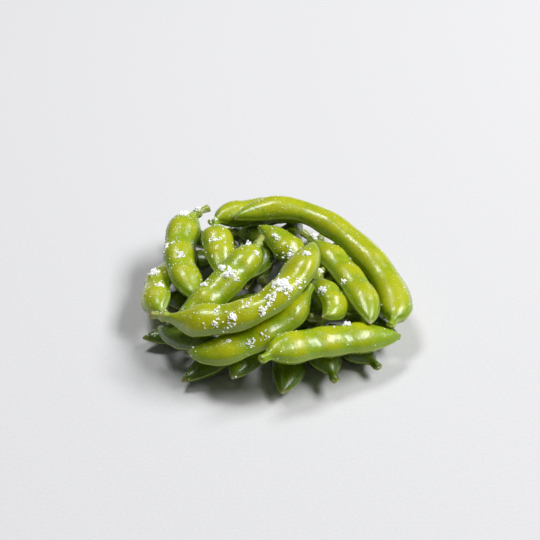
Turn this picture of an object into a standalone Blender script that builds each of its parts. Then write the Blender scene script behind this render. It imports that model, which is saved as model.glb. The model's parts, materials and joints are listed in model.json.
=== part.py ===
"""A heap of whole edamame pods (green soybeans in the pod), lying loose on a flat surface.

Run it with: blender --background --python part.py
The scene is in metres with +Z up; the table below and the shape functions work in millimetres.
Each pod is one closed solid: a cut stem end, a calyx, a flattened body that swells over its
beans, and a pointed tip. The pods are laid down in the order of the table, bottom ones first,
and each comes to rest as low as it can on the surface and on the pods already there.
"""

import math
from collections import namedtuple

import bmesh
import bpy
import numpy as np
from mathutils import Vector
from mathutils.bvhtree import BVHTree

MM = 0.001

# A pod's own dimensions, in millimetres.
HALF_WIDTH = 6.3  # across the flat side, from seam to seam
NECK_HALF = 1.6  # where the body starts, just past the calyx
CALYX_HALF = 2.1
CALYX_BULGE = 0.6  # how far below its top edge the calyx already swells
STEM_HALF = 1.35
CUT_HALF = 1.6  # the cut end of the stem spreads a little
STUB_HALF = 0.8  # where the stem has come off with its calyx
TIP_HALF = 0.45
TIP_BLUNT = 0.92  # below 1, the tip stays full for longer
TIP_RATIO = 0.9  # thickness over width at the tip
TIP_ROUNDING = 2.2  # how late in the taper the section turns round
STEM_LENGTH = 4.2
STUB_LENGTH = 0.9  # what is left of a stem that has come off
CALYX_LENGTH = 2.4
TAPER = 16.0  # how far before the tip it starts to narrow
BEAN_MARGIN = 8.0  # from either end of the body to the first bean's edge
WAIST = 0.07  # the share of its width that a pod loses between two beans
FLAT, ROUND = 0.66, 0.80  # thickness over width, between the beans and over a bean
TIP_HOOK = 1.6  # how far the tip leans towards one seam
SEAM_PINCH = 1.15  # above 1, the section comes to an edge at both seams

# How finely a pod is cut into faces.
SIDES = 12
RING_STEP = 3.9
FEWEST_RINGS = 6  # along the body of a short pod
TIP_STEP = 1.2  # from the last whole ring to the tip
LINE_POINTS = 400  # along a pod's centre line, between its ends

# The heap.
CONTACT_GAP = 0.4  # left between a pod and whatever it lies on
GRID_CELL = 0.4  # the spacing at which heights are compared
GRID_REACH = 80.0  # from the origin to the edge of that grid
STEEPEST = 0.4  # the most that a pod tilts along its length, as a slope
BENT = 15.0  # a pod bent by this much may tilt as far across its length, a straighter one less
LEVELNESS = 20.0  # how much height a pod gives up rather than tilt by a slope of 1
SEARCH_STEPS = 26  # thirds cut away while looking for the lowest tilt
FAR_OFF = 500.0  # a height past all pods

# line holds the pod's centre line from above, from stem to tip, as (x, y) or (x, y, height);
# the heights only shape the pod, since it comes to rest afterwards. roll turns its flat side
# about the centre line, in degrees, and size scales its section. shoulder is how far the body
# takes to reach its full width, and stem is how much of the stem is left.
Pod = namedtuple(
    "Pod",
    "name beans line roll size tint shoulder stem",
    defaults=(0.0, 1.0, "fresh", 7.0, STEM_LENGTH),
)

BOTTOM_LAYER = [
    Pod("base_right", 3, [(50, 0), (28, 3), (-5, -1)], 8, 0.98, "deep", stem=STUB_LENGTH),
    Pod("base_right_back", 2, [(14, 9), (27, 20), (41, 33)], -6, 0.97, "deep"),
    Pod("base_back_right", 3, [(20, 52), (14, 32), (3, 3)], 5, 0.98, "deep"),
    Pod("base_back", 2, [(-3, 12), (-7, 30), (-7, 50)], -8, 0.97, "deep"),
    Pod("base_back_left", 3, [(-26, 47), (-19, 30), (-9, 3)], 6, 0.98, "deep", stem=STUB_LENGTH),
    Pod("base_left_back", 2, [(-17, 15), (-31, 24), (-45, 36)], -4, 0.97, "deep"),
    Pod("base_left", 3, [(-49, 8), (-35, 5), (-11, -1)], 5, 0.98, "deep"),
    Pod("base_left_front", 2, [(-20, -9), (-32, -13), (-47, -19)], 7, 0.95, "deep"),
    Pod("base_front_left", 2, [(-8, -12), (-19, -26), (-31, -41)], -7, 0.97, "deep"),
    Pod("base_front", 2, [(-1, -11), (-8, -28), (-13, -45)], 6, 0.98, "deep"),
    Pod("base_front_middle", 2, [(3, -13), (5, -30), (4, -47)], 6, 0.97, "deep"),
    Pod("base_front_right", 3, [(21, -43), (17, -29), (5, -4)], -5, 0.98, "deep", stem=STUB_LENGTH),
    Pod("base_right_front", 2, [(37, -34), (30, -24), (19, -11)], 6, 0.97, "deep", stem=STUB_LENGTH),
    Pod("base_right_low", 2, [(21, -4), (32, -10), (46, -19)], -5, 0.95, "deep"),
    Pod("base_right_edge", 2, [(48, 18), (38, 14), (24, 10)], 4, 0.92, "deep"),
    Pod("base_back_edge", 2, [(22, 26), (27, 37), (33, 50)], 4, 0.92, "deep"),
    Pod("base_back_inner", 2, [(5, 21), (5, 36), (9, 55)], 4, 0.92, "deep"),
    Pod("base_back_rim", 2, [(-22, 53), (-2, 57), (18, 55)], 4, 0.92, "deep"),
    Pod("base_left_gap", 2, [(-39, 47), (-31, 37), (-24, 26)], 4, 0.8, "deep"),
    Pod("base_back_gap", 2, [(-12, 29), (-14, 41), (-17, 54)], 4, 0.65, "deep"),
    Pod("base_centre", 2, [(-17, -6), (-5, -4), (9, -9)], 4, 0.85, "deep"),
    Pod("base_left_inner", 2, [(-13, -4), (-19, -13), (-26, -24)], 4, 0.8, "deep"),
]

MIDDLE_LAYER = [
    Pod("low_back", 2, [(-21, 37), (-11, 35), (3, 32)], -8, 0.92, "deep"),
    Pod("low_front", 3, [(18, -22), (0, -13), (-20, -10)], -8, 0.96, "deep"),
    Pod("low_middle", 2, [(-1, 30), (-5, 16), (-12, -1)], -8, 0.96, "deep"),
    Pod("low_left", 2, [(-11, -28), (-30, -25), (-43, -17)], 10, 0.96, "deep"),
    Pod("far_left", 2, [(-37, -20), (-43, -8), (-44, 5), (-39, 23)], 25, 0.93, "fresh"),
    Pod("back_left", 3, [(-25, 33), (-15, 42), (0, 47), (20, 45)], -15, stem=STUB_LENGTH),
    Pod("left_hook", 3, [(-26, 46), (-33, 38), (-36, 22), (-33, 4), (-24, -9)], 10, 1.0, "fresh"),
    Pod(
        "upright_left", 2, [(-23, 30, 8), (-21, 17, 4), (-18, 0, 0)],
        roll=15, size=1.03, shoulder=5.0, stem=STUB_LENGTH,
    ),
    Pod("behind_centre", 2, [(27, 30), (20, 21), (13, 6)], 0, 0.9, "fresh"),
    Pod("right_centre", 2, [(18, 5, 8), (16, -1, 7), (20, -12, 3), (18, -26, 0)], 30, 1.03, "fresh"),
    Pod(
        "front_left", 3, [(13, -11), (8, -21), (-3, -31), (-17, -37), (-31, -36)],
        roll=10, size=0.96, shoulder=11.0, stem=STUB_LENGTH,
    ),
    Pod("front_right", 3, [(-5, -48), (8, -38), (26, -30), (44, -22)], -8, stem=STUB_LENGTH),
]

TOP_LAYER = [
    Pod("right_inner", 3, [(11, 27), (20, 14), (28, -1), (35, -26)], 10, 0.96, "fresh", 11.0),
    Pod("upper_centre", 2, [(12, 1, 0), (6, 14, 3), (-7, 25, 2)], 0, 1.05, "fresh"),
    Pod("left_centre", 3, [(-5, 18, 3), (-9, 6, 5), (-20, -9, 3), (-34, -24, 0)], 15, 1.0, "fresh"),
    Pod(
        "back_long", 4, [(41, -23, 0), (44, -6, 1), (34, 18, 6), (11, 37, 10), (-14, 31, 6)],
        roll=10, stem=STUB_LENGTH,
    ),
    Pod(
        "front_long", 4, [(-44, -22, 6), (-27, -29, 3), (-8, -30, 1), (7, -17, 2), (12, 2, 3)],
        roll=-20, size=1.04, shoulder=13.0,
    ),
]

HEAP = BOTTOM_LAYER + MIDDLE_LAYER + TOP_LAYER

# The skin. The pods nearest the surface are the deeper green ones.
TINTS = {"fresh": (0.33, 0.46, 0.035), "deep": (0.17, 0.30, 0.025)}
SKIN_ROUGHNESS = 0.38


def smooth(t):
    """An S curve from 0 at t = 0 to 1 at t = 1."""
    t = min(max(t, 0.0), 1.0)
    return t * t * (3 - 2 * t)


def bean_swell(s, length, beans):
    """1 over the middle of a bean, 0 between two beans and past the first and last ones."""
    along = (s - BEAN_MARGIN) / (length - 2 * BEAN_MARGIN)
    if not 0 < along < 1:
        return 0.0
    return math.sin(math.pi * along * beans) ** 2


def section(s, length, pod):
    """(half width, half thickness, lean) of a pod s mm past its stem."""
    if s < 0:
        near, end = (STEM_HALF, CUT_HALF) if pod.stem == STEM_LENGTH else (NECK_HALF, STUB_HALF)
        half = near + (end - near) * (s / pod.stem) ** 2
        return half, half, 0.0
    if s < CALYX_LENGTH:
        swell = math.sin(math.pi * (s + CALYX_BULGE) / (CALYX_LENGTH + CALYX_BULGE))
        calyx = NECK_HALF if pod.stem < STEM_LENGTH else CALYX_HALF
        half = NECK_HALF + (calyx - NECK_HALF) * swell
        return half, half, 0.0
    rise = smooth((s - CALYX_LENGTH) / pod.shoulder)
    left = min(max((length - s) / TAPER, 0.0), 1.0)
    fall = (1 - (1 - left) ** 2) ** TIP_BLUNT
    swell = bean_swell(s, length, pod.beans)
    inside = smooth(s / pod.shoulder) * smooth((length - s) / TAPER)
    width = (NECK_HALF + (HALF_WIDTH - NECK_HALF) * rise) * (1 - WAIST * (1 - swell) * inside)
    half = TIP_HALF + (width - TIP_HALF) * fall
    ratio = FLAT + (ROUND - FLAT) * swell
    ratio += (1 - ratio) * (1 - rise)
    ratio += (TIP_RATIO - ratio) * (1 - smooth(left * TIP_ROUNDING)) * rise
    return half, half * ratio, TIP_HOOK * (1 - left) ** 2


def centre_line(line):
    """A dense smooth curve through the pod's line, and its length."""
    points = np.array([(*point, 0.0)[:3] for point in line], float)
    chords = np.linalg.norm(np.diff(points, axis=0), axis=1)
    at = np.concatenate([[0.0], np.cumsum(chords)])
    shape = np.polyfit(at, points, len(points) - 1)
    fine = np.linspace(0.0, at[-1], LINE_POINTS)
    curve = np.stack([np.polyval(shape[:, axis], fine) for axis in range(3)], axis=1)
    steps = np.linalg.norm(np.diff(curve, axis=0), axis=1)
    return curve, np.concatenate([[0.0], np.cumsum(steps)])


def ring_places(total, stem):
    """Where a pod's rings stand, in mm past its stem, from the stem's cut to the tip."""
    body = total - stem
    head = [-stem, -0.5 * stem, -0.2, 0.5 * CALYX_LENGTH, CALYX_LENGTH + 0.3]
    count = max(FEWEST_RINGS, round((body - head[-1] - TIP_STEP) / RING_STEP))
    trunk = np.linspace(head[-1], body - TIP_STEP, count + 1)[1:]
    return [*head, *trunk, body], body


def pod_rings(pod, grow=0.0):
    """The pod's surface as rings of points round its centre line, grown outwards by grow mm."""
    curve, run = centre_line(pod.line)
    places, body = ring_places(run[-1], pod.stem)
    roll = math.radians(pod.roll)
    turns = np.arange(SIDES) * 2 * math.pi / SIDES
    rings = []
    for s in places:
        at = s + pod.stem
        middle = np.array([np.interp(at, run, curve[:, axis]) for axis in range(3)])
        before, after = max(at - 1.0, 0.0), min(at + 1.0, run[-1])
        ahead = np.array(
            [np.interp(after, run, curve[:, a]) - np.interp(before, run, curve[:, a]) for a in range(3)]
        )
        ahead /= np.linalg.norm(ahead)
        level = np.cross(ahead, (0.0, 0.0, 1.0))
        level /= np.linalg.norm(level)
        upward = np.cross(level, ahead)
        across = level * math.cos(roll) + upward * math.sin(roll)
        through = np.cross(across, ahead)
        half_width, half_thick, lean = section(s, body, pod)
        half_width = half_width * pod.size + grow
        half_thick = half_thick * pod.size + grow
        pinched = np.sign(np.sin(turns)) * np.abs(np.sin(turns)) ** SEAM_PINCH
        rings.append(
            middle
            + across * lean
            + np.outer(np.cos(turns) * half_width, across)
            + np.outer(pinched * half_thick, through)
        )
    return np.array(rings)


def pod_skin(rings):
    """The closed surface over the rings as a bmesh, with its two ends drawn to a point."""
    skin = bmesh.new()
    hoops = []
    for ring in rings:
        corners = [skin.verts.new(point) for point in ring]
        hoops.append([skin.edges.new((a, b)) for a, b in zip(corners, corners[1:] + corners[:1])])
    for hoop, beyond in zip(hoops, hoops[1:]):
        bmesh.ops.bridge_loops(skin, edges=hoop + beyond)
    caps = bmesh.ops.contextual_create(skin, geom=hoops[0])["faces"]
    caps += bmesh.ops.contextual_create(skin, geom=hoops[-1])["faces"]
    bmesh.ops.poke(skin, faces=caps)
    bmesh.ops.recalc_face_normals(skin, faces=skin.faces)
    return skin


class Heights:
    """The top of the heap so far, as heights on a square grid over the resting surface."""

    def __init__(self):
        self.count = round(2 * GRID_REACH / GRID_CELL)
        self.top = np.zeros((self.count, self.count))

    def cells(self, rings):
        """The grid's cells under these rings, as indices and as x and y in mm."""
        low = np.floor((rings.min(axis=(0, 1))[:2] + GRID_REACH) / GRID_CELL).astype(int)
        high = np.ceil((rings.max(axis=(0, 1))[:2] + GRID_REACH) / GRID_CELL).astype(int)
        columns, rows = np.meshgrid(np.arange(low[0], high[0] + 1), np.arange(low[1], high[1] + 1))
        columns, rows = columns.ravel(), rows.ravel()
        return columns, rows, columns * GRID_CELL - GRID_REACH, rows * GRID_CELL - GRID_REACH

    def surface(self, rings, upward):
        """The lowest heights of this surface, seen looking upward, or else the highest ones."""
        skin = pod_skin(rings)
        tree = BVHTree.FromBMesh(skin)
        skin.free()
        sign = 1.0 if upward else -1.0
        columns, rows, xs, ys = self.cells(rings)
        heights = np.full(len(xs), np.nan)
        for index, (x, y) in enumerate(zip(xs, ys)):
            hit = tree.ray_cast(Vector((x, y, -FAR_OFF * sign)), Vector((0.0, 0.0, sign)))[0]
            if hit is not None:
                heights[index] = hit.z
        found = ~np.isnan(heights)
        return columns[found], rows[found], xs[found], ys[found], heights[found]

    def add(self, rings):
        columns, rows, _, _, heights = self.surface(rings, upward=False)
        self.top[columns, rows] = np.maximum(self.top[columns, rows], heights)


def lowest(cost, reach):
    """(cost, slope) at the lowest point of a convex cost between -reach and reach."""
    low, high = -reach, reach
    for _ in range(SEARCH_STEPS):
        third = (high - low) / 3
        if cost(low + third) < cost(high - third):
            high -= third
        else:
            low += third
    slope = (low + high) / 2
    return cost(slope), slope


def come_to_rest(pod, heights):
    """The pod's rings where it lies: its middle as low as the heap lets it, tilted to suit."""
    grown = pod_rings(pod, CONTACT_GAP)
    columns, rows, xs, ys, under = heights.surface(grown, upward=True)
    middle = grown.mean(axis=(0, 1))
    ahead = grown[-1].mean(axis=0)[:2] - grown[0].mean(axis=0)[:2]
    ahead /= np.linalg.norm(ahead)
    along = (xs - middle[0]) * ahead[0] + (ys - middle[1]) * ahead[1]
    aside = (ys - middle[1]) * ahead[0] - (xs - middle[0]) * ahead[1]
    needed = heights.top[columns, rows] - under
    centres = grown.mean(axis=1)[:, :2] - grown[0].mean(axis=0)[:2]
    bend = np.ptp(centres[:, 1] * ahead[0] - centres[:, 0] * ahead[1])
    most_rock = STEEPEST * min(bend / BENT, 1.0)

    def lift(slope, rock):
        return (needed - slope * along - rock * aside).max()

    def cost(slope, rock):
        return lift(slope, rock) + LEVELNESS * (slope**2 + rock**2)

    rock = lowest(lambda r: lowest(lambda s: cost(s, r), STEEPEST)[0], most_rock)[1]
    slope = lowest(lambda s: cost(s, rock), STEEPEST)[1]
    raised = lift(slope, rock)
    rings = pod_rings(pod)
    east, north = rings[..., 0] - middle[0], rings[..., 1] - middle[1]
    rings[..., 2] += raised + slope * (east * ahead[0] + north * ahead[1])
    rings[..., 2] += rock * (north * ahead[0] - east * ahead[1])
    return rings


def skin_material(tint):
    material = bpy.data.materials.new(f"pod_skin_{tint}")
    material.use_nodes = True
    shader = material.node_tree.nodes["Principled BSDF"]
    shader.inputs["Base Color"].default_value = (*TINTS[tint], 1.0)
    shader.inputs["Roughness"].default_value = SKIN_ROUGHNESS
    shader.inputs["Metallic"].default_value = 0.0
    return material


def add_pod(name, rings, material):
    """One pod as an object, with its origin at the middle of its box."""
    centre = (rings.min(axis=(0, 1)) + rings.max(axis=(0, 1))) / 2
    mesh = bpy.data.meshes.new(name)
    skin = pod_skin((rings - centre) * MM)
    skin.to_mesh(mesh)
    skin.free()
    mesh.materials.append(material)
    mesh.shade_smooth()
    mesh.update()
    pod = bpy.data.objects.new(name, mesh)
    pod.location = centre * MM
    bpy.context.scene.collection.objects.link(pod)
    return pod


def build():
    for old in list(bpy.data.objects):
        bpy.data.objects.remove(old)
    heights = Heights()
    laid = {}
    for pod in HEAP:
        laid[pod.name] = come_to_rest(pod, heights)
        heights.add(laid[pod.name])
    corners = np.array([[rings.min(axis=(0, 1)), rings.max(axis=(0, 1))] for rings in laid.values()])
    low, high = corners[:, 0].min(axis=0), corners[:, 1].max(axis=0)
    origin = np.array([(low[0] + high[0]) / 2, (low[1] + high[1]) / 2, low[2]])
    materials = {tint: skin_material(tint) for tint in TINTS}
    for pod in HEAP:
        add_pod(pod.name, laid[pod.name] - origin, materials[pod.tint])


build()
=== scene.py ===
"""The looks of a heap of boiled edamame pods, sprinkled with coarse salt.

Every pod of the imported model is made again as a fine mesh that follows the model's own pod, with
its seams, its bean swells, its calyx and its cut stem. The salt lies on top of them.
"""

import json
import math
from collections import namedtuple

import bpy
import numpy as np
from mathutils import Euler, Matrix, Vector
from mathutils.bvhtree import BVHTree


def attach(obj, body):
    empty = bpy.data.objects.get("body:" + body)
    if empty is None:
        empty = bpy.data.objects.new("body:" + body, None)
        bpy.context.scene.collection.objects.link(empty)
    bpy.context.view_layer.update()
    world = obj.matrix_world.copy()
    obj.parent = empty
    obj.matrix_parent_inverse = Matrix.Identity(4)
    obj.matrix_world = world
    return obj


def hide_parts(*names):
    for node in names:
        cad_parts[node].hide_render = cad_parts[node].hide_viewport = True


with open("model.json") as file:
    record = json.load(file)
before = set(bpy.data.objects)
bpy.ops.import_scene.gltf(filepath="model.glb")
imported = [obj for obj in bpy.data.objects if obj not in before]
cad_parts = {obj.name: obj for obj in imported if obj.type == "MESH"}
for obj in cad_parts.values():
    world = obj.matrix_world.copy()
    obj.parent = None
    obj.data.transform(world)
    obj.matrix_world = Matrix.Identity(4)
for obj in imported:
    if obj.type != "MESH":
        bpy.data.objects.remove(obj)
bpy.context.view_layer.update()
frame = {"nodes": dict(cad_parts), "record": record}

MM = 0.001
rng = np.random.default_rng(20)

# How the model's pods are made: rings of SIDES points from the stem's cut to the tip.
SIDES = 12
WELD = 1e-6  # points nearer than this, in metres, are one point
FLAT_ENOUGH = 0.02  # how far a flat end's faces stray from its plane, in mm
SAME_WAY = 0.998  # the least cosine between the normals of a flat end's faces
BELOW_CALYX = 0.2  # how far the third ring stands before the calyx, in mm
WHOLE_STEM = 2.5  # anything shorter than this, in mm, is a stub with no calyx left on it
CALYX_TOP = 2.4  # from where the calyx starts to where the skin does, in mm
THIN, THICK = 0.67, 0.78  # thickness over width, between the beans and over a bean
SLIM, FULL = 0.62, 0.86  # width over the pod's greatest, where beans start and where they fit

# How fine the pods are, in mm along the pod and in points round it: those on top and those below.
FINE_STEP, FINE_ROUND = 0.5, 64
DEEP_STEP, DEEP_ROUND = 0.75, 44
STEM_STEP = 0.28  # along the stem and the calyx

# The skin's relief, in mm.
WAIST_FILL = 0.22  # how much the flat sides fill out between the beans
RIB_RISE, RIB_HALF = 0.22, 0.36  # the rib along each seam
GROOVE_DIP, GROOVE_FAR, GROOVE_HALF = 0.09, 1.15, 0.5  # the groove on each side of the rib
STEM_RIDGE = 0.07  # the ridges that run up the stem
LUMP, LUMP_SIZE = 0.13, 6.5
PUCKER, PUCKER_SIZE = 0.05, 1.1
FRAY, FRAY_SIZE = 0.10, 0.7  # how uneven the stem's cut is
SKIN_START = 3.0  # how long the smooth neck takes to become full skin
OFF_FLOOR = 0.02  # the least height of the skin above what the heap lies on
SUNK = 0.08  # how far the skin is sunk all over, so that no pod cuts into another

# The calyx and the cut end.
SEPALS = 5
SEPAL_ROWS, SEPAL_COLUMNS = 8, 5
SEPAL_LENGTH, SEPAL_WIDTH, SEPAL_CURL = (1.5, 2.4), (0.5, 0.75), (0.0, 0.35)  # ranges, in mm
SEPAL_THICK = 0.12
BROWNED = ("front_long",)  # whose cut end has gone the brownest
BARE = 6.0  # past this, in mm, nothing of the calyx's colour is left
HEALED = 0.6  # how much less brown, in mm, the end is where the stem came off by itself


# ---------------------------------------------------------------------------------------------
# The model's pods as rings of points
# ---------------------------------------------------------------------------------------------


def welded(mesh):
    """The mesh's points in mm with the doubled ones joined, and each face as their numbers."""
    points = np.array([vertex.co for vertex in mesh.vertices], float)
    _, first, same = np.unique(
        np.round(points / WELD).astype(np.int64), axis=0, return_index=True, return_inverse=True
    )
    faces = same.ravel()[np.array([face.vertices for face in mesh.polygons])]
    return points[first] / MM, faces


def layers_from(end, faces):
    """The points in layers, starting with this end's, each one step further from it."""
    near = {}
    for face in faces:
        for point in face:
            near.setdefault(point, set()).update(face)
    layers, seen = [end], set(end)
    while len(seen) < len(near):
        beyond = set().union(*(near[point] for point in layers[-1])) - seen
        seen |= beyond
        layers.append(beyond)
    return layers


def layers_of(points, faces):
    """The points in rings of SIDES from one of the pod's two flat ends to the other."""
    corners = points[faces]
    normals = np.cross(corners[:, 1] - corners[:, 0], corners[:, 2] - corners[:, 0])
    normals /= np.maximum(np.linalg.norm(normals, axis=1, keepdims=True), 1e-12)
    starts = corners[:, 0]
    away = np.abs(normals @ starts.T - (normals * starts).sum(axis=1)[:, None])
    in_plane = (normals @ normals.T > SAME_WAY) & (away < FLAT_ENOUGH)
    for face in np.argsort(-in_plane.sum(axis=1), kind="stable"):
        end = set(faces[in_plane[face]].ravel())
        layers = layers_from(end, faces) if len(end) == SIDES else []
        if layers and all(len(layer) == SIDES for layer in layers):
            return layers
    raise ValueError("a pod of the model isn't made of rings")


def round_order(points, ahead):
    """These points sorted by their turn about the direction ahead."""
    spokes = points - points.mean(axis=0)
    right = spokes[0] - ahead * (spokes[0] @ ahead) / (ahead @ ahead)
    up = np.cross(ahead, right) / np.linalg.norm(ahead)
    return points[np.argsort(np.arctan2(spokes @ up, spokes @ right))]


def cad_rings(node):
    """A pod of the model as rings of points from stem to tip, in mm, each starting at a seam."""
    points, faces = welded(frame["nodes"][node].data)
    layers = layers_of(points, faces)
    rings = np.array([points[sorted(layer)] for layer in layers])
    widths = np.ptp(rings, axis=1).max(axis=1)
    if widths[0] < widths[-1]:
        rings = rings[::-1]
    ahead = np.gradient(rings.mean(axis=1), axis=0)
    rings = np.array([round_order(ring, way) for ring, way in zip(rings, ahead)])
    for k in range(1, len(rings)):
        last = rings[k - 1] - rings[k - 1].mean(axis=0)
        spokes = rings[k] - rings[k].mean(axis=0)
        misfit = [np.abs(np.roll(spokes, -turn, axis=0) - last).sum() for turn in range(SIDES)]
        rings[k] = np.roll(rings[k], -int(np.argmin(misfit)), axis=0)
    across = np.linalg.norm(rings - np.roll(rings, SIDES // 2, axis=1), axis=2).sum(axis=0)
    rings = np.roll(rings, -int(np.argmax(across[: SIDES // 2])), axis=1)
    late = rings[-4]
    lean = (rings[-1].mean(axis=0) - late.mean(axis=0)) @ (late[0] - late[SIDES // 2])
    return rings if lean > 0 else np.roll(rings, SIDES // 2, axis=1)


# ---------------------------------------------------------------------------------------------
# The fine surface of a pod
# ---------------------------------------------------------------------------------------------


def rounder(rings, count):
    """The rings with count points each, on the smooth closed curve through the ones they have."""
    waves = np.fft.rfft(rings, axis=1)
    waves[:, -1] /= 2
    more = np.zeros((len(rings), count // 2 + 1, 3), complex)
    more[:, : waves.shape[1]] = waves
    return np.fft.irfft(more, n=count, axis=1) * (count / SIDES)


def read_between(values, at, wanted):
    """values, known at the places `at`, read at the wanted places on a smooth curve."""
    slope = np.gradient(values, at, axis=0)
    k = np.clip(np.searchsorted(at, wanted) - 1, 0, len(at) - 2)
    shape = (-1,) + (1,) * (values.ndim - 1)
    step = (at[k + 1] - at[k]).reshape(shape)
    t = ((wanted - at[k]) / (at[k + 1] - at[k])).reshape(shape)
    return (
        values[k] * (1 + 2 * t) * (1 - t) ** 2
        + values[k + 1] * (3 - 2 * t) * t**2
        + slope[k] * step * t * (1 - t) ** 2
        - slope[k + 1] * step * (1 - t) * t**2
    )


def ease(values, low, high):
    """0 below low, 1 above high, and an S curve between."""
    t = np.clip((values - low) / (high - low), 0.0, 1.0)
    return t * t * (3 - 2 * t)


LATTICE = 32  # values along each side of the cube of noise, which then repeats
lattice = rng.uniform(-1.0, 1.0, (LATTICE, LATTICE, LATTICE))


def lumps(points, size):
    """Smooth noise from -1 to 1 at these points, with lumps about `size` apart."""
    scaled = points / size
    cell = np.floor(scaled).astype(int)
    t = ease(scaled - cell, 0.0, 1.0)
    total = np.zeros(points.shape[:-1])
    for corner in np.ndindex(2, 2, 2):
        share = np.prod(np.where(corner, t, 1 - t), axis=-1)
        index = (cell + corner) % LATTICE
        total += share * lattice[index[..., 0], index[..., 1], index[..., 2]]
    return total


def normals_of(grid):
    """Outward normals of a surface given as rings of points, from stem to tip."""
    along = np.gradient(grid, axis=0)
    around = np.roll(grid, -1, axis=1) - np.roll(grid, 1, axis=1)
    normals = np.cross(around, along)
    return normals / np.maximum(np.linalg.norm(normals, axis=2, keepdims=True), 1e-9)


class Pod:
    """A pod's fine surface: a grid of points, rings from stem to tip, and what colours it."""

    def __init__(self, node, step, count):
        self.node = node
        rings = cad_rings(node)
        middles = rings.mean(axis=1)
        at = np.concatenate([[0.0], np.cumsum(np.linalg.norm(np.diff(middles, axis=0), axis=1))])
        self.stem = at[2] + BELOW_CALYX
        self.whole = self.stem > WHOLE_STEM
        head = np.arange(0.0, self.stem + 2 * CALYX_TOP, STEM_STEP)
        body = np.linspace(head[-1] + step, at[-1], round((at[-1] - head[-1]) / step))
        self.at = np.concatenate([head, body])
        self.length = at[-1]
        self.grid = read_between(rounder(rings, count), at, self.at)
        self.past = (self.at - self.stem)[:, None] * np.ones(count)
        self.turn = np.arange(count) * 2 * math.pi / count * np.ones((len(self.at), 1))
        wide = np.linalg.norm(rings[:, 0] - rings[:, SIDES // 2], axis=1)
        thick = np.linalg.norm(rings[:, SIDES // 4] - rings[:, 3 * SIDES // 4], axis=1)
        full = ease(wide / wide.max(), SLIM, FULL)
        swell = np.clip((thick / wide - THIN) / (THICK - THIN), 0.0, 1.0) * full
        self.swell = np.clip(read_between(swell, at, self.at), 0, 1)[:, None] * np.ones(count)
        self.full = np.clip(read_between(full, at, self.at), 0, 1)[:, None] * np.ones(count)
        self.seam = self.seam_distance()
        self.offset = rng.uniform(0.0, 40.0, 3)
        self.grain = np.stack(
            [self.past, 5.0 * np.cos(self.turn), 5.0 * np.sin(self.turn)], axis=2
        ) + self.offset
        self.shape()

    def seam_distance(self):
        """Each point's way round its ring to the nearer seam, in mm."""
        steps = np.linalg.norm(np.roll(self.grid, -1, axis=1) - self.grid, axis=2)
        way = np.concatenate([np.zeros((len(steps), 1)), np.cumsum(steps, axis=1)[:, :-1]], axis=1)
        total = steps.sum(axis=1, keepdims=True)
        other = way[:, way.shape[1] // 2][:, None]
        return np.minimum(np.minimum(way, total - way), np.abs(way - other))

    def shape(self):
        """Raises and sinks the surface: bean swells, seams, stem ridges and wrinkles."""
        side = np.abs(np.sin(self.turn))
        skin = ease(self.past, CALYX_TOP, CALYX_TOP + SKIN_START) if self.whole else 1.0
        rise = WAIST_FILL * (1 - self.swell) * self.full * side**2 - SUNK
        rib = np.exp(-((self.seam / RIB_HALF) ** 2)) * skin
        groove = np.exp(-(((self.seam - GROOVE_FAR) / GROOVE_HALF) ** 2)) * skin
        rise += RIB_RISE * rib - GROOVE_DIP * groove
        rise += STEM_RIDGE * np.cos(SEPALS * self.turn) * (1 - skin)
        rise += LUMP * lumps(self.grain, LUMP_SIZE) * skin
        puckers = lumps(self.grain * (1.0, 0.5, 0.5), PUCKER_SIZE)
        rise += PUCKER * puckers * skin * (1.2 - 0.7 * self.swell)
        ends = ease(self.past, -self.stem, -self.stem + 0.6)
        rise -= FRAY * np.abs(lumps(self.grain, FRAY_SIZE)) * (1 - ends)
        self.grid = self.grid + normals_of(self.grid) * rise[..., None]
        self.grid[..., 2] = np.maximum(self.grid[..., 2], OFF_FLOOR)

    def at_place(self, past, turn):
        """The surface point and normal past mm beyond the calyx's start, at this turn."""
        row = np.clip(np.searchsorted(self.at, past + self.stem), 1, len(self.at) - 2)
        column = int(round(turn / (2 * math.pi) * self.grid.shape[1])) % self.grid.shape[1]
        near = self.grid[row - 1 : row + 2, np.arange(column - 1, column + 2) % self.grid.shape[1]]
        along = near[2, 1] - near[0, 1]
        around = near[1, 2] - near[1, 0]
        normal = np.cross(around, along)
        return self.grid[row, column], normal / np.linalg.norm(normal)


# What a pod's material reads at each of its points: how far past the calyx's start and past the
# stem's cut it lies, how full the bean is there, and how far off the nearer seam is.
VALUES = ("past", "from_cut", "swell", "seam")


class MeshParts:
    """Points, faces and point values gathered for one mesh."""

    def __init__(self):
        self.points, self.faces, self.values = [], [], []
        self.count = 0

    def add(self, points, faces, values):
        """values holds what VALUES names, then the grain's x, y and z, for each point."""
        self.points.append(points)
        self.faces += [tuple(index + self.count for index in face) for face in faces]
        self.values.append(values)
        self.count += len(points)


def grid_faces(rows, columns, closed):
    """Faces of a grid of points, row by row, closed round each row if wanted."""
    faces = []
    for row in range(rows - 1):
        for column in range(columns if closed else columns - 1):
            beside = (column + 1) % columns
            a, b = row * columns + column, row * columns + beside
            faces.append((a, b, b + columns, a + columns))
    return faces


def shrunk(ring, share):
    """The ring at this share of its size, about its own middle."""
    return ring.mean(axis=0) + (ring - ring.mean(axis=0)) * share


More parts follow.
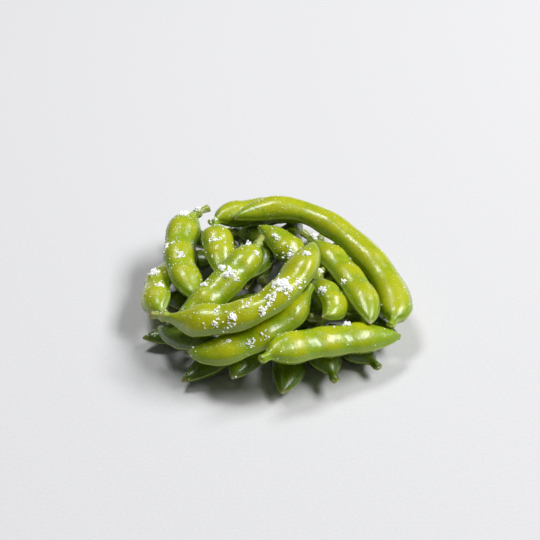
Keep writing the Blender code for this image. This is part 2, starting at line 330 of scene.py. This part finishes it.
def add_skin(parts, pod):
    """The pod's skin, closed over the cut stem, dished if whole and domed if not, and the tip."""
    columns = pod.grid.shape[1]
    cut, tip = pod.grid[0], pod.grid[-1]
    out = cut.mean(axis=0) - pod.grid[2].mean(axis=0)
    out /= np.linalg.norm(out)
    beyond = tip.mean(axis=0) - pod.grid[-3].mean(axis=0)
    beyond /= np.linalg.norm(beyond)
    bulge = (-0.04, -0.22, -0.14) if pod.whole else (0.25, 0.42, 0.48)
    points = np.concatenate(
        [
            [cut.mean(axis=0) + out * bulge[2]],
            shrunk(cut, 0.4) + out * bulge[1],
            shrunk(cut, 0.72) + out * bulge[0],
            pod.grid.reshape(-1, 3),
            shrunk(tip, 0.55) + beyond * 0.25,
            [tip.mean(axis=0) + beyond * 0.42],
        ]
    )
    ring_count = len(pod.grid) + 3
    faces = [tuple(index + 1 for index in face) for face in grid_faces(ring_count, columns, True)]
    last = 1 + (ring_count - 1) * columns
    for column in range(columns):
        beside = (column + 1) % columns
        faces.append((0, 1 + beside, 1 + column))
        faces.append((last + column, last + beside, last + columns))
    past = pod.past if pod.whole else np.maximum(pod.past, BARE)
    from_cut = pod.past + pod.stem + (0.0 if pod.whole else HEALED)
    values = [past, from_cut, pod.swell, pod.seam, *np.moveaxis(pod.grain, 2, 0)]
    values = np.stack(values, axis=2)
    start, end = values[0, :1], values[-1, :1]
    rows = values.reshape(-1, values.shape[2])
    parts.add(points, faces, np.concatenate([start, values[0], values[0], rows, values[-1], end]))


def add_sepal(parts, pod, turn, length, width, curl):
    """One pointed leaf of the calyx, lying on the pod's neck and lifting at its tip."""
    rows, columns = SEPAL_ROWS, SEPAL_COLUMNS
    outer, values = [], []
    for row in range(rows):
        t = row / (rows - 1)
        past = 0.2 + length * t
        half = width * (1 - t**1.8) ** 0.8 + 0.03
        base, normal = pod.at_place(past, turn)
        sideways = pod.at_place(past, turn + 0.25)[0] - pod.at_place(past, turn - 0.25)[0]
        sideways /= np.linalg.norm(sideways)
        lift = 0.06 + 0.08 * t + curl * t**3
        for column in range(columns):
            u = column / (columns - 1) * 2 - 1
            droop = 0.22 * u * u * half
            outer.append(base + normal * (lift - droop) + sideways * u * half)
            values.append([-0.1 - 0.6 * t, pod.stem, 0.0, 2.0, *(pod.offset + (past, 4 * u, 0.0))])
    outer = np.array(outer)
    grid = outer.reshape(rows, columns, 3)
    along = np.gradient(grid, axis=0)
    across = np.gradient(grid, axis=1)
    normals = np.cross(across, along)
    normals /= np.linalg.norm(normals, axis=2, keepdims=True)
    inner = outer - normals.reshape(-1, 3) * SEPAL_THICK
    points = np.concatenate([outer, inner])
    size = rows * columns
    faces = grid_faces(rows, columns, False)
    faces += [tuple(index + size for index in reversed(face)) for face in faces]
    rim = [row * columns for row in range(rows)]
    rim += [(rows - 1) * columns + column for column in range(1, columns)]
    rim += [row * columns + columns - 1 for row in range(rows - 2, -1, -1)]
    rim += list(range(columns - 2, 0, -1))
    for a, b in zip(rim, rim[1:] + rim[:1]):
        faces.append((b, a, a + size, b + size))
    parts.add(points, faces, np.array(values * 2))


def mesh_object(name, points, faces, material):
    """A smooth-shaded mesh object from points in mm."""
    mesh = bpy.data.meshes.new(name)
    mesh.from_pydata([tuple(point) for point in np.asarray(points) * MM], [], faces)
    mesh.materials.append(material)
    mesh.shade_smooth()
    mesh.update()
    piece = bpy.data.objects.new(name, mesh)
    bpy.context.scene.collection.objects.link(piece)
    return piece


def pod_piece(pod, material):
    """The pod's mesh, with the values its material reads."""
    parts = MeshParts()
    add_skin(parts, pod)
    first = rng.uniform(0.0, 2 * math.pi)
    for index in range(SEPALS if pod.whole else 0):
        turn = first + (index + rng.uniform(-0.18, 0.18)) * 2 * math.pi / SEPALS
        sizes = (rng.uniform(*between) for between in (SEPAL_LENGTH, SEPAL_WIDTH, SEPAL_CURL))
        add_sepal(parts, pod, turn % (2 * math.pi), *sizes)
    piece = mesh_object(f"pod_{pod.node}", np.concatenate(parts.points), parts.faces, material)
    values = np.concatenate(parts.values).astype(np.float32)
    for column, name in enumerate(VALUES):
        layer = piece.data.attributes.new(name, "FLOAT", "POINT")
        layer.data.foreach_set("value", np.ascontiguousarray(values[:, column]))
    grain = piece.data.attributes.new("grain", "FLOAT_VECTOR", "POINT")
    grain.data.foreach_set("vector", np.ascontiguousarray(values[:, len(VALUES) :]).ravel())
    piece["to_tip"] = float(pod.length - pod.stem)
    return piece


# ---------------------------------------------------------------------------------------------
# Materials
# ---------------------------------------------------------------------------------------------


class Nodes:
    """Short forms for building a material's nodes."""

    def __init__(self, name):
        self.material = bpy.data.materials.new(name)
        self.material.use_nodes = True
        self.tree = self.material.node_tree
        self.shader = self.tree.nodes["Principled BSDF"]

    def add(self, kind, settings=None, **inputs):
        """A node with its inputs set or linked: by name, or by number as i0, i1 and so on."""
        node = self.tree.nodes.new(kind)
        for key, value in (settings or {}).items():
            setattr(node, key, value)
        for key, value in inputs.items():
            socket = int(key[1:]) if key[1:].isdigit() else key
            self.put(node.inputs[socket], value)
        return node

    def put(self, socket, value):
        if isinstance(value, bpy.types.NodeSocket):
            self.tree.links.new(value, socket)
        else:
            socket.default_value = value

    def value(self, name, kind="GEOMETRY"):
        node = self.add("ShaderNodeAttribute", {"attribute_name": name, "attribute_type": kind})
        return node.outputs["Fac"]

    def vector(self, name):
        return self.add("ShaderNodeAttribute", {"attribute_name": name}).outputs["Vector"]

    def math(self, operation, a, b=0.0, c=0.0):
        return self.add("ShaderNodeMath", {"operation": operation}, i0=a, i1=b, i2=c).outputs[0]

    def scaled(self, vector, by):
        node = self.add("ShaderNodeVectorMath", {"operation": "MULTIPLY"}, i0=vector, i1=by)
        return node.outputs[0]

    def noise(self, vector, scale, detail=3.0, roughness=0.5):
        node = self.add("ShaderNodeTexNoise", Vector=vector, Scale=scale, Detail=detail)
        node.inputs["Roughness"].default_value = roughness
        return node.outputs["Fac"]

    def ramp(self, value, low, high, to_low=0.0, to_high=1.0):
        """to_low where value is low, to_high where it is high, and an S curve between."""
        smooth = {"interpolation_type": "SMOOTHSTEP"}
        limits = {"i1": low, "i2": high, "i3": to_low, "i4": to_high}
        return self.add("ShaderNodeMapRange", smooth, i0=value, **limits).outputs[0]

    def mix(self, share, a, b):
        """Colour a, or b where share is 1."""
        node = self.add("ShaderNodeMix", {"data_type": "RGBA"})
        self.put(node.inputs[0], share)
        for socket, value in ((node.inputs[6], a), (node.inputs[7], b)):
            self.put(socket, value if isinstance(value, bpy.types.NodeSocket) else (*value, 1.0))
        return node.outputs[2]


# The skin's colours over the beans, in the hollows between them (partly painted shade) and towards
# the seams (painted shade on the pod's sides), for the salted pods on top and, darker as painted
# shade, for those below.
TINTS = {
    "pod_skin_fresh": {
        "bean": (0.48, 0.52, 0.003),
        "hollow_shade_and_mottle": (0.25, 0.39, 0.003),
        "edge": (0.17, 0.31, 0.003),
    },
    # Painted shade: the pods below are coloured darker for the shade they lie in.
    "pod_skin_deep": {
        "bean": (0.15, 0.23, 0.004),
        "hollow_shade_and_mottle": (0.05, 0.11, 0.003),
        "edge": (0.06, 0.13, 0.003),
    },
}
PALE_SPECK = (0.55, 0.60, 0.02)
RIB_COLOUR = (0.44, 0.50, 0.06)
CALYX_COLOUR = (0.43, 0.48, 0.10)
STEM_COLOUR = (0.36, 0.42, 0.07)
CUT_COLOUR = (0.40, 0.24, 0.06)
TIP_COLOUR = (0.26, 0.19, 0.05)
FLECK_COLOUR = (0.20, 0.15, 0.03)


def skin_material(slot):
    """A pod's skin: mottled, flecked and wet, paler on its ribs, brown at its cut end and tip,
    with painted shade on its sides and between its beans.
    """
    n = Nodes(slot)
    tint = TINTS[slot]
    past, from_cut, swell, seam = (n.value(name) for name in VALUES)
    grain = n.vector("grain")
    tone = n.value("tone", "OBJECT")
    to_tip = n.value("to_tip", "OBJECT")

    cloud = n.noise(grain, 0.16, 2.0)
    mottle = n.noise(grain, 0.55, 4.0, 0.6)
    # Partly painted light and shade: yellower over the beans' swells and greener in the hollows
    # between them; the cloud, mottle and tone terms are the skin's own mottling.
    yellow = n.math("MULTIPLY_ADD", swell, 0.45, n.math("MULTIPLY_ADD", cloud, 1.5, -0.40))
    yellow = n.math("ADD", yellow, n.math("MULTIPLY_ADD", mottle, 0.9, -0.45))
    yellow = n.math("ADD", yellow, n.math("SUBTRACT", tone, 0.5))
    colour = n.mix(n.ramp(yellow, -0.1, 1.0), tint["hollow_shade_and_mottle"], tint["bean"])
    # Painted shade: greener towards the seams, along the pod's sides, where shade falls.
    colour = n.mix(n.ramp(seam, 4.2, 0.9, 0.0, 0.75), colour, tint["edge"])

    speckle = n.noise(grain, 2.6, 2.0, 0.55)
    colour = n.mix(n.ramp(speckle, 0.52, 0.70, 0.0, 0.30), colour, PALE_SPECK)
    colour = n.mix(n.ramp(speckle, 0.46, 0.30, 0.0, 0.35), colour, tint["hollow_shade_and_mottle"])
    fleck = n.noise(n.scaled(grain, (1.0, 1.3, 1.3)), 0.9, 1.0)
    colour = n.mix(n.ramp(fleck, 0.72, 0.80, 0.0, 0.55), colour, FLECK_COLOUR)
    colour = n.mix(n.ramp(seam, 0.62, 0.12, 0.0, 0.55), colour, RIB_COLOUR)

    from_tip = n.math("SUBTRACT", to_tip, past)
    ragged = n.math("ADD", from_tip, n.math("MULTIPLY", n.math("SUBTRACT", mottle, 0.5), 3.0))
    colour = n.mix(n.ramp(ragged, 1.9, 0.0, 0.0, 0.6), colour, TIP_COLOUR)
    neck = n.math("ADD", past, n.math("MULTIPLY", n.math("SUBTRACT", mottle, 0.5), 2.0))
    colour = n.mix(n.ramp(neck, 5.5, 1.0, 0.0, 0.5), colour, CALYX_COLOUR)
    colour = n.mix(n.ramp(past, 0.6, -0.1), colour, CALYX_COLOUR)
    colour = n.mix(n.ramp(past, -0.4, -1.0), colour, STEM_COLOUR)
    browned = n.math("MULTIPLY", n.ramp(from_cut, 1.3, 0.1), n.value("browned", "OBJECT"))
    colour = n.mix(browned, colour, CUT_COLOUR)
    n.put(n.shader.inputs["Base Color"], colour)

    gloss = n.noise(grain, 1.5, 4.0, 0.65)
    n.put(n.shader.inputs["Roughness"], n.ramp(gloss, 0.36, 0.62, 0.12, 0.32))
    n.shader.inputs["Specular IOR Level"].default_value = 0.65
    n.shader.inputs["Specular Tint"].default_value = (0.86, 0.90, 1.0, 1.0)
    n.shader.inputs["Coat Weight"].default_value = 0.3
    n.shader.inputs["Coat Roughness"].default_value = 0.10
    n.shader.inputs["Subsurface Weight"].default_value = 0.15
    n.shader.inputs["Subsurface Radius"].default_value = (1.0, 1.0, 0.25)
    n.shader.inputs["Subsurface Scale"].default_value = 0.0012

    creases = n.noise(n.scaled(grain, (1.0, 0.45, 0.45)), 1.5, 4.0, 0.6)
    ripples = n.noise(n.scaled(grain, (1.0, 0.30, 0.30)), 3.2, 2.0, 0.5)
    pores = n.noise(grain, 4.5, 2.0, 0.5)
    relief = n.math("ADD", creases, n.math("MULTIPLY", pores, 0.22))
    relief = n.math("ADD", relief, n.math("MULTIPLY", ripples, 0.30))
    bump = n.add("ShaderNodeBump", Height=relief, Strength=0.42, Distance=0.00035)
    n.put(n.shader.inputs["Normal"], bump.outputs[0])
    return n.material


def salt_material():
    n = Nodes("salt")
    where = n.add("ShaderNodeTexCoord").outputs["Object"]
    cloud = n.noise(where, 1800.0, 2.0)
    colour = n.mix(n.ramp(cloud, 0.3, 0.7), (0.98, 0.99, 1.0), (0.93, 0.95, 0.98))
    n.put(n.shader.inputs["Base Color"], colour)
    n.put(n.shader.inputs["Roughness"], n.ramp(cloud, 0.3, 0.7, 0.25, 0.5))
    n.shader.inputs["Emission Color"].default_value = (1.0, 1.0, 1.0, 1.0)
    n.shader.inputs["Emission Strength"].default_value = 0.16  # painted glow, standing in for light scattered inside the grains
    return n.material


def floor_material():
    n = Nodes("floor")
    where = n.add("ShaderNodeTexCoord").outputs["Object"]
    grit = n.noise(where, 900.0, 3.0)
    colour = n.mix(n.ramp(grit, 0.3, 0.7), (0.732, 0.732, 0.748), (0.704, 0.704, 0.72))
    n.put(n.shader.inputs["Base Color"], colour)
    n.shader.inputs["Roughness"].default_value = 0.85
    n.shader.inputs["Specular IOR Level"].default_value = 0.2
    return n.material


# ---------------------------------------------------------------------------------------------
# Salt
# ---------------------------------------------------------------------------------------------

# Where it lies thickest: on which pod, at what share of the way from its calyx to its tip, how
# far to the right of its middle when walking that way, how wide (both in mm), how many grains.
Patch = namedtuple("Patch", "node share aside spread grains")
PATCHES = [
    Patch("front_long", 0.61, 2.0, 3.6, 130),
    Patch("front_long", 0.53, 3.0, 2.8, 26),
    Patch("front_long", 0.28, 2.4, 3.0, 16),
    Patch("front_long", 0.35, 3.6, 3.0, 8),
    Patch("front_long", 0.45, 0.5, 3.0, 10),
    Patch("front_long", 0.82, 2.0, 1.8, 20),
    Patch("left_centre", 0.50, -1.6, 3.2, 50),
    Patch("left_centre", 0.46, 3.0, 1.4, 20),
    Patch("left_centre", 0.66, 3.0, 1.2, 14),
    Patch("left_centre", 0.15, 1.0, 1.2, 14),
    Patch("left_centre", 0.20, -4.0, 0.8, 10),
    Patch("left_hook", 0.59, 0.7, 1.3, 18),
    Patch("left_hook", 0.14, 1.5, 2.2, 34),
    Patch("left_hook", 0.02, 0.0, 1.4, 18),
    Patch("upright_left", 0.02, 0.0, 1.2, 14),
    Patch("upright_left", 0.45, 0.5, 2.6, 16),
    Patch("far_left", 0.62, -1.5, 2.4, 34),
    Patch("far_left", 0.86, 0.0, 2.4, 18),
    Patch("far_left", 0.38, 1.5, 2.0, 18),
    Patch("front_left", 0.50, -2.4, 1.8, 30),
    Patch("front_left", 0.68, 0.5, 1.4, 26),
    Patch("front_left", 0.60, -3.5, 1.6, 14),
    Patch("front_left", 0.21, -2.0, 1.2, 14),
    Patch("upper_centre", 0.20, -3.0, 2.2, 36),
    Patch("upper_centre", 0.55, -2.0, 2.2, 12),
    Patch("right_inner", 0.04, -1.0, 1.6, 30),
    Patch("right_inner", 0.58, 4.5, 1.0, 10),
    Patch("right_centre", 0.50, 3.2, 1.3, 26),
    Patch("right_centre", -0.05, 0.0, 1.0, 16),
    Patch("front_right", 0.66, -3.5, 1.3, 24),
]
CLUMP = (3, 10)  # grains in one clump of a patch, at least this many and fewer than that
CLUMP_SPREAD = 0.45
CLUMP_GRAIN = (0.3, 0.65)  # from the smallest to the largest, in mm
FINENESS = 2  # how many grains fall for each that a patch names
GRAIN_LEAN = 0.3  # how far grains lean from lying flat, in radians
GRAIN_FACES = [(0, 1, 3, 2), (4, 6, 7, 5), (0, 4, 5, 1), (2, 3, 7, 6), (0, 2, 6, 4), (1, 5, 7, 3)]
GRAIN_CORNERS = 8
DROP_FROM = 100.0  # a height over the whole heap, in mm

# How grains lie, as shares of their size: how far a grain's middle stands over the skin, how near
# two grains lie for one to rest on the other, and how much of each then counts as height.
SEATED, TOUCHING, TALL, STACKED = 0.28, 0.36, 0.3, 0.17


def grain_shape(size):
    """The corners and faces of one salt crystal: a cube, knocked out of square and chipped."""
    corners = np.array([(x, y, z) for x in (-1, 1) for y in (-1, 1) for z in (-1, 1)], float)
    corners *= rng.uniform((0.7, 0.7, 0.4), (1.0, 1.0, 0.8)) * size / 2
    corners += rng.uniform(-0.12, 0.12, corners.shape) * size
    lean = rng.normal(0.0, GRAIN_LEAN, 2)
    turn = np.array(Euler((*lean, rng.uniform(0.0, 2 * math.pi))).to_matrix())
    return corners @ turn.T


class Salt:
    """Grains that fall on the heap and stay where they land, on each other if need be."""

    def __init__(self, pods):
        points = np.concatenate([pod.grid.reshape(-1, 3) for pod in pods])
        faces, first = [], 0
        for pod in pods:
            rows, columns = pod.grid.shape[:2]
            faces += [tuple(i + first for i in face) for face in grid_faces(rows, columns, True)]
            first += rows * columns
        self.tree = BVHTree.FromPolygons([tuple(p) for p in points], faces)
        self.points, self.faces, self.lying = [], [], []

    def drop(self, x, y, size, steepest, pile=True):
        """Lets a grain of this size fall at (x, y) mm, unless the skin there is too steep.

        steepest is the least upward part of the skin's normal, and pile says whether the grain
        rests on others.
        """
        above, down = Vector((x, y, DROP_FROM)), Vector((0.0, 0.0, -1.0))
        hit, normal, _, _ = self.tree.ray_cast(above, down)
        if hit is None or normal.z < steepest:
            return
        height = hit.z + size * SEATED
        if pile:
            for at, high, wide in self.lying:
                gap = math.hypot(at[0] - x, at[1] - y)
                if gap < (wide + size) * TOUCHING and high + wide * TALL > height:
                    height = high + (wide + size) * STACKED
        corners = grain_shape(size) + (x, y, height)
        first = GRAIN_CORNERS * len(self.points)
        self.points.append(corners)
        self.faces += [tuple(index + first for index in face) for face in GRAIN_FACES]
        if pile:
            self.lying.append(((x, y), height, size))

    def patch(self, pod, patch):
        """Clumps of grains round one place on a pod."""
        middles = pod.grid.mean(axis=1)[:, :2]
        shares = pod.past[:, 0] / (pod.length - pod.stem)
        row = np.clip(np.searchsorted(shares, patch.share), 1, len(middles) - 2)
        ahead = middles[row + 1] - middles[row - 1]
        right = np.array([ahead[1], -ahead[0]]) / np.linalg.norm(ahead)
        left_over = patch.grains * FINENESS
        while left_over > 0:
            clump = middles[row] + right * patch.aside + rng.normal(0.0, patch.spread / 2, 2)
            for x, y in clump + rng.normal(0.0, CLUMP_SPREAD, (rng.integers(*CLUMP), 2)):
                self.drop(x, y, rng.uniform(*CLUMP_GRAIN), steepest=0.15)
                left_over -= 1

    def scatter(self, count, smallest, largest):
        """Single grains all over the heap, most of them small, thicker towards its left."""
        for _ in range(count):
            x, y = rng.uniform(-60.0, 60.0, 2)
            if rng.uniform() < 0.25 + 0.75 * (1 - ease(x, -35.0, 25.0)):
                size = smallest + (largest - smallest) * rng.uniform() ** 2
                self.drop(x, y, size, steepest=0.3, pile=False)

    def piece(self, name, material):
        """All the grains as one object."""
        piece = mesh_object(name, np.concatenate(self.points), self.faces, material)
        piece.data.shade_flat()
        return piece


# ---------------------------------------------------------------------------------------------
# The heap
# ---------------------------------------------------------------------------------------------

# A pod's tone goes from greener to yellower, and browned is how brown its cut end is.
TONE, CUT_BROWN = (0.35, 0.65), (0.1, 0.5)

slot_of = {row["node"]: row["material_slot"] for row in frame["record"]["subparts"]}
skins = {slot: skin_material(slot) for slot in TINTS}
pods = {}
for node in sorted(frame["nodes"]):
    slot = slot_of[node]
    deep = slot == "pod_skin_deep"
    pod = Pod(node, DEEP_STEP if deep else FINE_STEP, DEEP_ROUND if deep else FINE_ROUND)
    piece = pod_piece(pod, skins[slot])
    piece["tone"] = float(rng.uniform(*TONE))
    piece["browned"] = 1.0 if node in BROWNED else float(rng.uniform(*CUT_BROWN))
    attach(piece, "root")
    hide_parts(node)
    pods[node] = pod

salt = Salt(pods.values())
for patch in PATCHES:
    salt.patch(pods[patch.node], patch)
salt.scatter(1300, 0.26, 0.62)
salt.scatter(2600, 0.14, 0.28)
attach(salt.piece("salt", salt_material()), "root")

# ---------------------------------------------------------------------------------------------
# Floor, light and camera
# ---------------------------------------------------------------------------------------------

FLOOR_SIZE = 4.0
LIT_SPOT = (0.0, 0.0, 0.01)  # what the lights are aimed at

bpy.ops.mesh.primitive_plane_add(size=FLOOR_SIZE)
floor = bpy.context.object
floor.name = "floor"
floor.data.materials.append(floor_material())


def aim(thing, place, target):
    """Puts a light or camera at a place, facing the target."""
    thing.location = place
    thing.rotation_mode = "QUATERNION"
    thing.rotation_quaternion = (Vector(target) - Vector(place)).to_track_quat("-Z", "Y")


def soft_light(name, place, width, height, power):
    """A white rectangular light over the heap, in metres and watts."""
    lamp = bpy.data.lights.new(name, "AREA")
    lamp.shape = "RECTANGLE"
    lamp.size, lamp.size_y = width, height
    lamp.energy = power
    light = bpy.data.objects.new(name, lamp)
    bpy.context.scene.collection.objects.link(light)
    aim(light, place, LIT_SPOT)


soft_light("window", (1.30, 0.10, 1.55), 1.45, 0.55, 40.5)
soft_light("overhead", (-0.35, 0.45, 1.38), 0.50, 0.36, 9.2)

world = bpy.data.worlds.new("studio")
world.use_nodes = True
background = world.node_tree.nodes["Background"]
background.inputs["Color"].default_value = (0.94, 0.96, 1.0, 1.0)
background.inputs["Strength"].default_value = 0.08
bpy.context.scene.world = world

FOCAL, SENSOR = 85.0, 36.0  # in mm
FIELD = 0.1998  # the width of what the camera sees at the heap, in metres
ELEVATION = math.radians(37.0)
TARGET = Vector((-0.0021, -0.0033, 0.020))

camera = bpy.data.objects.new("camera", bpy.data.cameras.new("camera"))
camera.data.lens = FOCAL
camera.data.sensor_width = SENSOR
camera.data.clip_start = 0.01
bpy.context.scene.collection.objects.link(camera)
back = Vector((0.0, -math.cos(ELEVATION), math.sin(ELEVATION)))
aim(camera, TARGET + back * (FIELD * FOCAL / SENSOR), TARGET)
bpy.context.scene.camera = camera
bpy.context.scene.view_settings.view_transform = "Standard"
